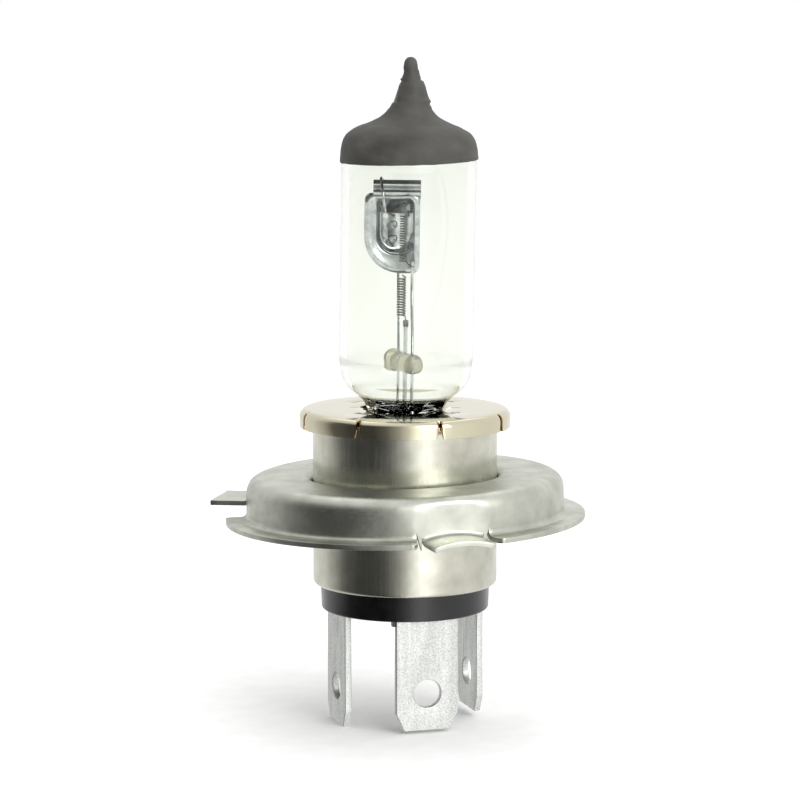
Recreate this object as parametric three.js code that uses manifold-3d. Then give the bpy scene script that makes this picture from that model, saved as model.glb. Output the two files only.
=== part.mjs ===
// Twin-filament halogen headlight bulb with a flanged 43 mm prefocus cap.
// Millimetres. The origin is on the bulb's axis, in the reference plane of the flange's lugs.
// +Z points to the glass tip and -Y is the bulb's 12 o'clock side, where the middle blade is.

import * as THREE from 'three';
import { mergeVertices } from 'three/addons/utils/BufferGeometryUtils.js';
import Module from 'manifold-3d';

const wasm = await Module();
wasm.setup();

// Clearances between pieces that touch on the real bulb.
const fitGap = 0.05;
const slidingGap = 0.1;
const turnedGap = 0.3;

// Glass envelope and its coating.
const glassRadius = 8.02;
const glassWall = 1.0;
const coatThickness = 0.2;
const coatEdgeZ = 40.4;
const domeShoulderZ = 45.1;
const domeShoulderRadius = 3.6;
const tipFootRadius = 3.4;
const tipFootZ = 45.65;
const tipFootFillet = 1.6;
const tipNeckRadius = 1.45;
const tipNeckZ = 49.2;
const tipNeckFillet = 3.0;
const tipRadius = 0.92;
const tipZ = 52.65;
const tipRounding = 0.35;
const glassHeelZ = 13.9;
const glassHeelRounding = 3.4;
const glassConeFootRadius = 3.2;
const glassConeFootZ = 9.1;
const cavityFloorZ = 10.9;
const pinchThickness = 3.4;
const pinchSideMargin = 0.8;
const pinchBottomZ = 0.8;
const pinchRounding = 0.6;

// Filaments, coiled along the axis.
const coilRadius = 0.5;
const filamentWireRadius = 0.1;
const lowBeamStartZ = 28.5;
const lowBeamLength = 5.5;
const lowBeamTurns = 12;
const highBeamStartZ = 22.0;
const highBeamLength = 4.5;
const highBeamTurns = 10;
const filamentX = -0.6;
const filamentLegLength = 1.0;

// Lead wires, their bridge and their foils.
const leadRadius = 0.25;
const leadSpacing = 2.8;
const bridgeZ = 16.6;
const bridgeRadius = 1.25;
const bridgeOverhang = 1.3;
const bridgeRounding = 1.0;
const leadBendLength = 1.5;
const foilThickness = 0.2;
const foilWidth = 2.0;
const foilTopZ = 7.2;
const foilBottomZ = 3.2;
const clampWall = 0.1;
const clampHeight = 0.8;

// Dip shield, a drawn cup under the low-beam filament.
const shieldX = -1.55;
const shieldY = 1.5;
const shieldTurn = THREE.MathUtils.degToRad(-28.5);
const shieldHalfWidth = 3.4;
const shieldBottomZ = 26.9;
const shieldLipTopZ = 36.6;
const shieldTopZ = 38.2;
const shieldSheet = 0.25;
const shieldDepth = 2.4;
const shieldHeelRadius = 4.4;
const shieldCornerRadius = 0.6;
const troughLeft = -1.75;
const troughRight = 2.75;
const troughBottomZ = 29.3;
const troughTopZ = 36.2;
const troughRounding = 2.0;
const shieldTabWidth = 1.0;
const shieldTabHeight = 1.4;
const loopAcross = -1.2;
const loopFront = 0.6;
const loopHeight = 0.7;

// Barrel, holder ring and insulator of the cap.
const barrelRadius = 11.0;
const barrelWall = 0.4;
const barrelBottomZ = -10.1;
const barrelTopZ = 10.2;
const barrelBrimWidth = 1.05;
const barrelEdgeRounding = 0.5;
const barrelLipWidth = 0.85;
const ringSheet = 0.4;
const ringBrimGap = 0.15;
const ringSeatGap = 0.4;
const ringSkirtHeight = 2.15;
const ringCornerRadius = 1.0;
const ringNotchCount = 8;
const ringNotchTurn = THREE.MathUtils.degToRad(2);
const ringNotchWidth = 0.5;
const ringNotchHeight = 1.6;
const tongueWidth = 3.6;
const tongueSheet = 0.35;
const tongueBottomZ = 6.4;
const insulatorGap = 0.15;
const insulatorBottomZ = -13.1;
const insulatorTopZ = -5.2;
const insulatorChamfer = 0.5;

// Flange with its three lugs.
const flangeSheet = 0.6;
const domeRadius = 19.0;
const rimWidth = 2.5;
const rimTopZ = -1.8;
const domeTopZ = 3.1;
const domeRounding = 1.8;
const domeFlatDepth = 0.5;
const collarBottomZ = 0.9;
const lugAngles = [-90, 30, 150].map(THREE.MathUtils.degToRad);
const lugOverhang = 1.7;
const lugWidth = 7.6;
const lugNotchMargin = 0.9;
const crownedLugTopZ = -0.4;
const crownedLugRise = 0.9;

// Terminal blades.
const bladeWidth = 7.6;
const bladeThickness = 0.8;
const bladeSideInset = 1.8;
const bladeFrontInset = 1.4;
const bladeTopZ = -3.4;
const bladeHoleRadius = 1.65;
const bladeHoleHeight = 4.4;
const bladeChamferWidth = 0.95;
const bladeChamferHeight = 2.05;
const bladeTipZ = { top: -26.3, left: -26.7, right: -25.9 };

// How finely round pieces are faceted.
const glassSides = 32;
const capSides = 48;
const flangeSides = 72;
const coilStepsPerTurn = 7;

// Places that follow from the sizes above.
const leadX = filamentX + coilRadius;
const pinchWidth = 2 * (leadSpacing + foilWidth / 2 + pinchSideMargin);
const clampSize = 2 * (leadRadius + slidingGap + clampWall);
const barrelBore = barrelRadius - barrelWall;
const barrelBrimRadius = barrelRadius + barrelBrimWidth;
const ringRadius = barrelBrimRadius + ringBrimGap + ringSheet;
const ringUndersideZ = barrelTopZ + ringSeatGap;
const ringTopZ = ringUndersideZ + ringSheet;
const ringBottomZ = ringTopZ - ringSkirtHeight;
const coneSlope = (glassRadius - glassConeFootRadius) / (glassHeelZ - glassConeFootZ);
const ringHoleRadius = glassConeFootRadius + coneSlope * (ringTopZ - glassConeFootZ) + turnedGap;
const insulatorRadius = barrelRadius - barrelLipWidth - insulatorGap;
const rimRadius = domeRadius + rimWidth;
const rimBottomZ = rimTopZ - flangeSheet;
const domeFlat = domeRadius - domeFlatDepth;
const lugReach = rimRadius + lugOverhang;
const flangeHoleRadius = barrelRadius + fitGap;
const bladeSideX = insulatorRadius - bladeSideInset;
const bladeFrontY = bladeFrontInset - insulatorRadius;
const leadRows = { common: -leadSpacing, high: 0, low: leadSpacing };
const highClampZ = highBeamStartZ - filamentLegLength;
const lowClampZ = lowBeamStartZ + lowBeamLength + filamentLegLength;

function finish(color, roughness, metalness) {
  return new THREE.MeshStandardMaterial({ color, roughness, metalness });
}

const finishes = {
  glass: () => finish('#e4ebe8', 0.05, 0),
  coating: () => finish('#5b5650', 0.7, 0),
  bead: () => finish('#e9e6c8', 0.15, 0),
  tungsten: () => finish('#77787a', 0.4, 1),
  molybdenum: () => finish('#aab0b3', 0.25, 1),
  nickel: () => finish('#d6cfb8', 0.2, 1),
  steel: () => finish('#b9b8b0', 0.35, 1),
  tin: () => finish('#c2c3c0', 0.45, 1),
  resin: () => finish('#1b1c1e', 0.3, 0),
};

// ---- Solids ---------------------------------------------------------------------------------

function asManifold(geometry) {
  const bare = geometry.clone();
  bare.deleteAttribute('normal');
  bare.deleteAttribute('uv');
  const merged = mergeVertices(bare, 1e-5);
  const corners = merged.index.array;
  const kept = [];
  for (let i = 0; i < corners.length; i += 3) {
    const [a, b, c] = corners.slice(i, i + 3);
    if (a !== b && b !== c && c !== a) kept.push(a, b, c);
  }
  const vertProperties = Float32Array.from(merged.attributes.position.array);
  const triVerts = Uint32Array.from(kept);
  return new wasm.Manifold(new wasm.Mesh({ numProp: 3, vertProperties, triVerts }));
}

function asGeometry(manifold) {
  const { vertProperties, triVerts } = manifold.getMesh();
  const geometry = new THREE.BufferGeometry();
  geometry.setAttribute('position', new THREE.BufferAttribute(Float32Array.from(vertProperties), 3));
  geometry.setIndex(new THREE.BufferAttribute(Uint32Array.from(triVerts), 1));
  geometry.computeVertexNormals();
  return geometry;
}

function join(first, ...others) {
  return asGeometry(others.reduce((sum, other) => sum.add(asManifold(other)), asManifold(first)));
}

function cut(first, ...others) {
  return asGeometry(others.reduce((rest, other) => rest.subtract(asManifold(other)), asManifold(first)));
}

// Turns corners [x, y, radius] into points, with an arc at each corner that has a radius.
function rounded(corners, stepsPerQuarter = 3) {
  return corners.flatMap(([x, y, radius = 0], i) => {
    const here = new THREE.Vector2(x, y);
    if (radius === 0) return [here];
    const at = (k) => new THREE.Vector2(...corners.at(k % corners.length).slice(0, 2)).sub(here).normalize();
    const before = at(i - 1);
    const after = at(i + 1);
    const half = Math.acos(THREE.MathUtils.clamp(before.dot(after), -1, 1)) / 2;
    const toCentre = before.clone().add(after).setLength(radius / Math.sin(half));
    const centre = here.clone().add(toCentre);
    const start = here.clone().addScaledVector(before, radius / Math.tan(half)).sub(centre);
    const sweep = Math.sign(before.cross(after)) * -(Math.PI - 2 * half);
    const steps = Math.max(1, Math.ceil((Math.abs(sweep) / (Math.PI / 2)) * stepsPerQuarter));
    return Array.from({ length: steps + 1 }, (_, k) =>
      start.clone().rotateAround(new THREE.Vector2(), (sweep * k) / steps).add(centre));
  });
}

// Profile points are (radius, height), going up on the outer side.
function turned(profile, segments = capSides) {
  return new THREE.LatheGeometry(profile, segments).rotateX(Math.PI / 2);
}

function turnedRing(profile, segments = capSides) {
  return turned([...profile, profile[0].clone()], segments);
}

function plate(outline, thickness, holes = []) {
  const shape = new THREE.Shape(outline);
  shape.holes.push(...holes.map((points) => new THREE.Path(points)));
  return new THREE.ExtrudeGeometry(shape, { depth: thickness, bevelEnabled: false });
}

function block(width, depth, height, x, y, z) {
  return new THREE.BoxGeometry(width, depth, height).translate(x, y, z);
}

function rod(radius, bottomZ, topZ, x = 0, y = 0, sides = 16) {
  const length = topZ - bottomZ;
  return new THREE.CylinderGeometry(radius, radius, length, sides)
    .rotateX(Math.PI / 2)
    .translate(x, y, bottomZ + length / 2);
}

function circle(radius, sides, x = 0, y = 0) {
  return Array.from({ length: sides }, (_, i) => {
    const angle = (2 * Math.PI * i) / sides;
    return new THREE.Vector2(x + radius * Math.cos(angle), y + radius * Math.sin(angle));
  });
}

function wireAlong(curve, radius, steps, sides = 6) {
  const section = new THREE.Shape(circle(radius, sides));
  return new THREE.ExtrudeGeometry(section, { steps, extrudePath: curve, bevelEnabled: false });
}

function bentWire(points, radius, steps) {
  const route = points.map((point) => new THREE.Vector3(...point));
  return wireAlong(new THREE.CatmullRomCurve3(route, false, 'centripetal'), radius, steps);
}

class Helix extends THREE.Curve {
  constructor(radius, length, turns) {
    super();
    Object.assign(this, { radius, length, turns });
  }

  getPoint(t, target = new THREE.Vector3()) {
    const angle = 2 * Math.PI * this.turns * t;
    return target.set(this.radius * Math.cos(angle), this.radius * Math.sin(angle), this.length * t);
  }
}

// ---- Glass ----------------------------------------------------------------------------------

// The outside of the coated dome and tip, moved inwards by inset, from the coating's edge to the axis.
function domeProfile(inset) {
  const radius = glassRadius + coatThickness;
  return [
    [radius - inset, domeShoulderZ - inset, domeShoulderRadius - inset],
    [tipFootRadius - inset, tipFootZ - inset, tipFootFillet + inset],
    [tipNeckRadius - inset / 2, tipNeckZ - inset, tipNeckFillet],
    [tipRadius - inset / 2, tipZ - inset, tipRounding],
    [0, tipZ - inset],
  ];
}

function topCoating() {
  const radius = glassRadius + coatThickness;
  const outside = rounded([[radius, coatEdgeZ], ...domeProfile(0)]);
  const inside = rounded([[glassRadius + fitGap, coatEdgeZ], ...domeProfile(coatThickness - fitGap)]);
  return turned([...inside.reverse(), ...outside], glassSides);
}

function leadChannels(rowY) {
  const bore = leadRadius + slidingGap;
  return [
    rod(bore, foilTopZ - slidingGap, cavityFloorZ + 1, leadX, rowY),
    foil(rowY, slidingGap),
    rod(bore, pinchBottomZ - 1, foilBottomZ + slidingGap, leadX, rowY),
  ];
}

function glassEnvelope() {
  const body = turned(rounded([
    [0, glassConeFootZ],
    [glassConeFootRadius, glassConeFootZ],
    [glassRadius, glassHeelZ, glassHeelRounding],
    [glassRadius, coatEdgeZ],
    ...domeProfile(coatThickness),
  ]), glassSides);
  const innerRadius = glassRadius - glassWall;
  const cavity = turned(rounded([
    [0, cavityFloorZ],
    [glassConeFootRadius, cavityFloorZ],
    [innerRadius, glassHeelZ + glassWall / 2, glassHeelRounding - glassWall],
    [innerRadius, domeShoulderZ - coatThickness - glassWall, domeShoulderRadius - coatThickness - glassWall],
    [0, domeShoulderZ - coatThickness - glassWall],
  ]), glassSides);
  const halfThickness = pinchThickness / 2;
  const halfWidth = pinchWidth / 2;
  const pinchOutline = rounded([
    [-halfThickness, -halfWidth, pinchRounding],
    [halfThickness, -halfWidth, pinchRounding],
    [halfThickness, halfWidth, pinchRounding],
    [-halfThickness, halfWidth, pinchRounding],
  ]);
  const pinch = plate(pinchOutline, cavityFloorZ - 1 - pinchBottomZ).translate(0, 0, pinchBottomZ);
  return cut(join(body, pinch), cavity, ...Object.values(leadRows).flatMap(leadChannels));
}

// ---- Filaments and what carries them --------------------------------------------------------

// A coil with one leg that goes on along the axis from its end at 3 o'clock.
function filament(startZ, length, turns, legBelow) {
  const helix = new Helix(coilRadius, length, turns);
  const coil = wireAlong(helix, filamentWireRadius, turns * coilStepsPerTurn, 5);
  const legBottom = legBelow ? -filamentLegLength : length;
  const leg = rod(filamentWireRadius, legBottom, legBottom + filamentLegLength, coilRadius, 0, 6);
  return join(coil, leg).translate(filamentX, 0, startZ);
}

// A folded tab that a filament's leg enters from one side and a lead from the other.
function clamp(z) {
  const tab = block(clampSize, clampSize, clampHeight, leadX, 0, z);
  return cut(tab, rod(leadRadius + slidingGap, z - clampHeight, z + clampHeight, leadX, 0));
}

function commonLead() {
  const touch = shieldPoint(shieldHalfWidth - shieldTabWidth / 2, -leadRadius - turnedGap);
  const rowY = leadRows.common;
  const bendZ = bridgeZ + bridgeRadius + leadRadius;
  return bentWire([
    [leadX, rowY, foilTopZ + slidingGap],
    [leadX, rowY, bendZ],
    [leadX, rowY, bendZ + leadBendLength],
    [touch.x, touch.y, shieldBottomZ - leadBendLength],
    [touch.x, touch.y, shieldBottomZ + shieldTabHeight],
  ], leadRadius, 16);
}

function highBeamLead() {
  return rod(leadRadius, foilTopZ + slidingGap, highClampZ - slidingGap, leadX, leadRows.high, 8);
}

function lowBeamLead() {
  const rowY = leadRows.low;
  const behind = shieldPoint(0, shieldDepth + shieldSheet + leadRadius + turnedGap);
  const over = shieldPoint(loopAcross, -loopFront);
  const bendZ = bridgeZ + bridgeRadius + leadRadius;
  return bentWire([
    [leadX, rowY, foilTopZ + slidingGap],
    [leadX, rowY, bendZ],
    [leadX, rowY, bendZ + leadBendLength],
    [behind.x, behind.y, shieldBottomZ],
    [behind.x, behind.y, shieldTopZ],
    [over.x, over.y, shieldTopZ + loopHeight],
    [over.x, over.y, shieldTopZ - leadBendLength],
    [leadX, 0, lowClampZ + clampHeight + leadRadius],
    [leadX, 0, lowClampZ + slidingGap],
  ], leadRadius, 34);
}

function bridgeBead() {
  const halfLength = leadSpacing + bridgeOverhang;
  const bead = turned(rounded([
    [0, -halfLength],
    [bridgeRadius, -halfLength, bridgeRounding],
    [bridgeRadius, halfLength, bridgeRounding],
    [0, halfLength],
  ]), 16).rotateX(Math.PI / 2).translate(leadX, 0, bridgeZ);
  const holes = Object.values(leadRows).map((rowY) =>
    rod(leadRadius + slidingGap, bridgeZ - 2 * bridgeRadius, bridgeZ + 2 * bridgeRadius, leadX, rowY, 10));
  return cut(bead, ...holes);
}

// A foil in the pinch, or with grow the room around it.
function foil(rowY, grow = 0) {
  const height = foilTopZ - foilBottomZ + 2 * grow;
  const middleZ = (foilTopZ + foilBottomZ) / 2;
  return block(foilThickness + 2 * grow, foilWidth + 2 * grow, height, leadX, rowY, middleZ);
}

// From the pinch's lower end to the inner face of a blade, above the insulator.
function outerLead(rowY, bladeX, bladeY) {
  const reach = 1 - (bladeThickness / 2 + leadRadius + fitGap) / Math.hypot(bladeX, bladeY);
  const endX = bladeX * reach;
  const endY = bladeY * reach;
  return bentWire([
    [leadX, rowY, foilBottomZ - slidingGap],
    [leadX, rowY, pinchBottomZ - slidingGap],
    [leadX, rowY, pinchBottomZ - 2 * leadRadius],
    [(leadX + endX) / 2, (rowY + endY) / 2, (pinchBottomZ + insulatorTopZ) / 2],
    [endX, endY, bladeTopZ - slidingGap],
    [endX, endY, insulatorTopZ + slidingGap],
  ], leadRadius, 14);
}

// ---- Dip shield -----------------------------------------------------------------------------

// The place in the bulb's frame of a point on the shield: across to the right, and back from its lip.
function shieldPoint(across, back) {
  return new THREE.Vector2(across, back).rotateAround(new THREE.Vector2(), shieldTurn)
    .add(new THREE.Vector2(shieldX, shieldY));
}

function dipShield() {
  const half = shieldHalfWidth;
  const lipOutline = rounded([
    [-half, shieldBottomZ, shieldHeelRadius],
    [half, shieldBottomZ, shieldCornerRadius],
    [half, shieldTopZ, shieldCornerRadius],
    [troughLeft, shieldTopZ, shieldCornerRadius],
    [troughLeft, shieldLipTopZ, 0],
    [-half, shieldLipTopZ, shieldCornerRadius],
  ]);
  const troughOutline = (grow) => rounded([
    [troughLeft - grow, troughBottomZ - grow, troughRounding + grow],
    [troughRight + grow, troughBottomZ - grow, troughRounding + grow],
    [troughRight + grow, troughTopZ + grow, shieldSheet + grow],
    [troughLeft - grow, troughTopZ + grow, shieldSheet + grow],
  ]);
  // Each layer is drawn upright and goes back from the lip's front face.
  const layer = (outline, front, back) =>
    plate(outline, back - front).translate(0, 0, -back).rotateX(Math.PI / 2);
  const lip = layer(lipOutline, 0, shieldSheet);
  const cup = layer(troughOutline(shieldSheet), 0, shieldDepth + shieldSheet);
  const hollow = layer(troughOutline(0), -1, shieldDepth);
  return cut(join(lip, cup), hollow);
}

// ---- Cap ------------------------------------------------------------------------------------

function barrel() {
  return turnedRing(rounded([
    [barrelRadius - barrelLipWidth, barrelBottomZ],
    [barrelRadius, barrelBottomZ, barrelEdgeRounding],
    [barrelRadius, barrelTopZ - barrelWall],
    [barrelBrimRadius, barrelTopZ - barrelWall],
    [barrelBrimRadius, barrelTopZ],
    [barrelBore, barrelTopZ],
    [barrelBore, barrelBottomZ + barrelWall],
    [barrelRadius - barrelLipWidth, barrelBottomZ + barrelWall],
  ]));
}

// A V-shaped notch at the skirt's lower edge, seen from outside, cut through the sheet.
function ringNotch(angle) {
  const wedge = plate([
    new THREE.Vector2(-ringNotchWidth, ringBottomZ - 0.5),
    new THREE.Vector2(ringNotchWidth, ringBottomZ - 0.5),
    new THREE.Vector2(ringNotchWidth / 4, ringBottomZ + ringNotchHeight),
    new THREE.Vector2(-ringNotchWidth / 4, ringBottomZ + ringNotchHeight),
  ], 3 * ringSheet);
  return wedge.rotateX(Math.PI / 2).translate(0, -ringRadius + 2 * ringSheet, 0).rotateZ(angle);
}

// A spring tongue bent down from the ring's plate to the flat side of the pinch.
function ringTongue(side) {
  const rootX = ringHoleRadius + 0.3;
  const footX = pinchThickness / 2 + slidingGap + tongueSheet;
  const outline = [
    new THREE.Vector2(rootX, ringUndersideZ + ringSheet / 2),
    new THREE.Vector2(rootX - tongueSheet, ringUndersideZ + ringSheet / 2),
    new THREE.Vector2(footX - tongueSheet, tongueBottomZ),
    new THREE.Vector2(footX, tongueBottomZ),
  ];
  const sheet = plate(outline, tongueWidth).rotateX(Math.PI / 2).translate(0, tongueWidth / 2, 0);
  return side > 0 ? sheet : sheet.rotateZ(Math.PI);
}

function holderRing() {
  const innerRadius = ringRadius - ringSheet;
  const lid = turnedRing(rounded([
    [innerRadius, ringBottomZ],
    [ringRadius, ringBottomZ],
    [ringRadius, ringTopZ, ringCornerRadius],
    [ringHoleRadius, ringTopZ],
    [ringHoleRadius, ringUndersideZ],
    [innerRadius, ringUndersideZ, ringCornerRadius - ringSheet],
  ]));
  const notches = Array.from({ length: ringNotchCount }, (_, i) =>
    ringNotch(ringNotchTurn + (2 * Math.PI * i) / ringNotchCount));
  return cut(join(lid, ringTongue(1), ringTongue(-1)), ...notches);
}

// The dome's outline from above: three arcs, with a flat between them at each lug.
function domeOutline(inset) {
  const radius = domeRadius - inset;
  const halfFlat = Math.acos((domeFlat - inset) / radius);
  const sweep = (2 * Math.PI) / lugAngles.length - 2 * halfFlat;
  const steps = flangeSides / lugAngles.length - 4;
  return lugAngles.flatMap((lug) => Array.from({ length: steps + 1 }, (_, i) => {
    const angle = lug + halfFlat + (sweep * i) / steps;
    return new THREE.Vector2(radius * Math.cos(angle), radius * Math.sin(angle));
  }));
}

function domeBlank(inset) {
  const bevel = domeRounding - inset;
  const bottom = rimBottomZ - domeRounding - 1;
  const depth = domeTopZ - inset - bevel - bottom;
  const options = { depth, bevelThickness: bevel, bevelSize: bevel, bevelOffset: -bevel, bevelSegments: 3 };
  return new THREE.ExtrudeGeometry(new THREE.Shape(domeOutline(inset)), options).translate(0, 0, bottom);
}

function flatLug() {
  const root = domeFlat - flangeSheet / 2;
  return block(lugReach - root, lugWidth, flangeSheet, (lugReach + root) / 2, 0, -flangeSheet / 2);
}

// The lug at 12 o'clock is arched across its width.
function crownedLug() {
  const half = lugWidth / 2;
  const archRadius = (half * half + crownedLugRise * crownedLugRise) / (2 * crownedLugRise);
  const steps = 8;
  const arc = (below) => Array.from({ length: steps + 1 }, (_, i) => {
    const across = half - (lugWidth * i) / steps;
    const sag = Math.sqrt(archRadius * archRadius - across * across) - archRadius;
    return new THREE.Vector2(across, crownedLugTopZ + sag - below);
  });
  const root = domeFlat - flangeSheet / 2;
  return plate([...arc(0), ...arc(flangeSheet).reverse()], lugReach - root)
    .rotateX(Math.PI / 2).rotateZ(Math.PI / 2).translate(root, 0, 0);
}

function mountingFlange() {
  const rim = turned(rounded([
    [0, rimBottomZ],
    [rimRadius, rimBottomZ],
    [rimRadius, rimTopZ],
    [0, rimTopZ],
  ]), flangeSides);
  const below = block(4 * rimRadius, 4 * rimRadius, rimRadius, 0, 0, rimBottomZ - rimRadius / 2);
  const bore = rod(flangeHoleRadius, rimBottomZ - 1, domeTopZ + 1, 0, 0, capSides);
  const collar = turnedRing(rounded([
    [flangeHoleRadius, collarBottomZ],
    [flangeHoleRadius + flangeSheet, collarBottomZ],
    [flangeHoleRadius + flangeSheet, domeTopZ - flangeSheet / 2],
    [flangeHoleRadius, domeTopZ - flangeSheet / 2],
  ]));
  const notchWidth = lugWidth + 2 * lugNotchMargin;
  const notches = lugAngles.map((angle) =>
    block(lugReach, notchWidth, 3 * flangeSheet, domeFlat + lugReach / 2, 0, rimTopZ - flangeSheet / 2)
      .rotateZ(angle));
  const shell = cut(join(domeBlank(0), rim), domeBlank(flangeSheet), below, bore, ...notches);
  const lugs = lugAngles.map((angle, i) => (i === 0 ? crownedLug() : flatLug()).rotateZ(angle));
  return join(shell, collar, ...lugs);
}

function bladeSlot(x, y, turn) {
  const height = insulatorTopZ - insulatorBottomZ + 2;
  const slot = new THREE.BoxGeometry(bladeWidth + 2 * fitGap, bladeThickness + 2 * fitGap, height);
  return slot.rotateZ(turn).translate(x, y, insulatorBottomZ - 1 + height / 2);
}

function baseInsulator() {
  const seatZ = barrelBottomZ + barrelWall + fitGap;
  const body = turned(rounded([
    [0, insulatorBottomZ],
    [insulatorRadius - insulatorChamfer, insulatorBottomZ],
    [insulatorRadius, insulatorBottomZ + insulatorChamfer],
    [insulatorRadius, seatZ],
    [barrelBore - fitGap, seatZ],
    [barrelBore - fitGap, insulatorTopZ],
    [0, insulatorTopZ],
  ]));
  return cut(body, ...blades.map(({ x, y, turn }) => bladeSlot(x, y, turn)));
}

function terminalBlade(tipZ) {
  const half = bladeWidth / 2;
  const outline = [
    [-half + bladeChamferWidth, tipZ],
    [half - bladeChamferWidth, tipZ],
    [half, tipZ + bladeChamferHeight],
    [half, bladeTopZ],
    [-half, bladeTopZ],
    [-half, tipZ + bladeChamferHeight],
  ].map((corner) => new THREE.Vector2(...corner));
  const hole = circle(bladeHoleRadius, 24, 0, tipZ + bladeHoleHeight);
  return plate(outline, bladeThickness, [hole]).rotateX(Math.PI / 2).translate(0, bladeThickness / 2, 0);
}

// ---- Assembly -------------------------------------------------------------------------------

const blades = [
  { side: 'top', x: 0, y: bladeFrontY, turn: 0, row: leadRows.common },
  { side: 'left', x: -bladeSideX, y: 0, turn: Math.PI / 2, row: leadRows.high },
  { side: 'right', x: bladeSideX, y: 0, turn: Math.PI / 2, row: leadRows.low },
];

const bulb = new THREE.Group();

function place(name, geometry, material, parent = bulb) {
  const mesh = new THREE.Mesh(geometry, material);
  mesh.name = name;
  parent.add(mesh);
  return mesh;
}

place('glass_envelope', glassEnvelope(), finishes.glass());
place('top_coating', topCoating(), finishes.coating());

const lowBeamFilament = filament(lowBeamStartZ, lowBeamLength, lowBeamTurns, false);
const highBeamFilament = filament(highBeamStartZ, highBeamLength, highBeamTurns, true);
place('low_beam_filament', lowBeamFilament, finishes.tungsten());
place('high_beam_filament', highBeamFilament, finishes.tungsten());
place('low_beam_clamp', clamp(lowClampZ), finishes.molybdenum());
place('high_beam_clamp', clamp(highClampZ), finishes.molybdenum());

const shieldMount = new THREE.Group();
shieldMount.position.set(shieldX, shieldY, 0);
shieldMount.rotation.z = shieldTurn;
bulb.add(shieldMount);
place('dip_shield', dipShield(), finishes.molybdenum(), shieldMount);

place('common_lead', commonLead(), finishes.molybdenum());
place('high_beam_lead', highBeamLead(), finishes.molybdenum());
place('low_beam_lead', lowBeamLead(), finishes.molybdenum());
place('bridge_bead', bridgeBead(), finishes.bead());
Object.entries(leadRows).forEach(([row, rowY]) => {
  place(`${row}_foil`, foil(rowY), finishes.molybdenum());
});

place('holder_ring', holderRing(), finishes.nickel());
place('barrel', barrel(), finishes.steel());
place('mounting_flange', mountingFlange(), finishes.steel());
place('base_insulator', baseInsulator(), finishes.resin());
blades.forEach(({ side, x, y, turn, row }) => {
  const blade = place(`blade_${side}`, terminalBlade(bladeTipZ[side]), finishes.tin());
  blade.position.set(x, y, 0);
  blade.rotation.z = turn;
  place(`outer_lead_${side}`, outerLead(row, x, y), finishes.nickel());
});

export default bulb;
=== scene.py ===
import math

import bmesh
import bpy
from mathutils import Matrix, Vector


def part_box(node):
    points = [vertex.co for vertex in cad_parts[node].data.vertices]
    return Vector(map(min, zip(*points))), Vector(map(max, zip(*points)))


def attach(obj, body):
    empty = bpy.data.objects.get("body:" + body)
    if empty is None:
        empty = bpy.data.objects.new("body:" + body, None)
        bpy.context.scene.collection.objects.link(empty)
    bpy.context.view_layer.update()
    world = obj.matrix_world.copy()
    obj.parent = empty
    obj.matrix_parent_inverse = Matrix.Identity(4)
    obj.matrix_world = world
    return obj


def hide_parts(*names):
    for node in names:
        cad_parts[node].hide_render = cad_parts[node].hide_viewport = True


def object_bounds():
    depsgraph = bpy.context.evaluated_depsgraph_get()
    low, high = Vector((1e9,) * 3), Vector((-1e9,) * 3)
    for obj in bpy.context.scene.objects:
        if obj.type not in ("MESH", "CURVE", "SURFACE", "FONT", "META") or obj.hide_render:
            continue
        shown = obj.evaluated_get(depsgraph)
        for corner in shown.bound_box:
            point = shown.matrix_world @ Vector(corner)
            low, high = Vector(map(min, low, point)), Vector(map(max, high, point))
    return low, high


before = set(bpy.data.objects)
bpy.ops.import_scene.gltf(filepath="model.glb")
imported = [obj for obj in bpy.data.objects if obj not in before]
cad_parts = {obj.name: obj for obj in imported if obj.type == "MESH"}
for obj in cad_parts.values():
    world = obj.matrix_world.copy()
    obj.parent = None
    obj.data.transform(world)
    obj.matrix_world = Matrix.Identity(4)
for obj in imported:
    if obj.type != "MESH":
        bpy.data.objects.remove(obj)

MM = 0.001
cad_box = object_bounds()

# ---- Camera, light and floor ------------------------------------------------------------------

CAMERA_AZIMUTH = math.radians(17)
CAMERA_PITCH = math.radians(7.7)
CAMERA_DISTANCE = 378 * MM
CAMERA_HEIGHT = 63 * MM
CAMERA_SIDESTEP = 0.6 * MM
CAMERA_LENS = 144
BRIGHTEST_WALL = 2.0
# How bright the studio's wall is at each angle, in degrees to the right of the camera.
STUDIO_WALL = (
    (-180, 1.0), (-150, 0.9), (-120, 0.85), (-100, 0.5), (-86, 0.14), (-62, 0.06), (-34, 0.06),
    (-20, 0.14), (-7, 0.4), (4, 0.85), (12, 1.5), (19, 2.0), (29, 2.0), (40, 1.4), (55, 1.1),
    (100, 0.95), (140, 1.0), (180, 1.0))
# The wall gives way to a white ceiling between these heights of the unit direction.
CEILING_START, CEILING_END = 0.55, 0.9
# The paper gets this much more light than the metal mirrors, so that it goes to pure white.
FLOOR_BOOST = 0.3
FLOOR_SIZE = 6
FLOOR_GAP = 0.02 * MM
TOWARDS_CAMERA = Vector((-math.sin(CAMERA_AZIMUTH), -math.cos(CAMERA_AZIMUTH), 0))


def hex_colour(code):
    """An sRGB hex colour as linear RGBA."""
    values = [int(code[i:i + 2], 16) / 255 for i in (1, 3, 5)]
    return [v / 12.92 if v <= 0.04045 else ((v + 0.055) / 1.055) ** 2.4 for v in values] + [1.0]


def add_node(tree, kind, settings=None, inputs=None, links=None):
    """Adds a node, sets its properties and sockets, and links other nodes' outputs to its sockets."""
    node = tree.nodes.new(kind)
    for name, value in (settings or {}).items():
        setattr(node, name, value)
    for name, value in (inputs or {}).items():
        node.inputs[name].default_value = value
    for name, output in (links or {}).items():
        tree.links.new(output, node.inputs[name])
    return node


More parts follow.
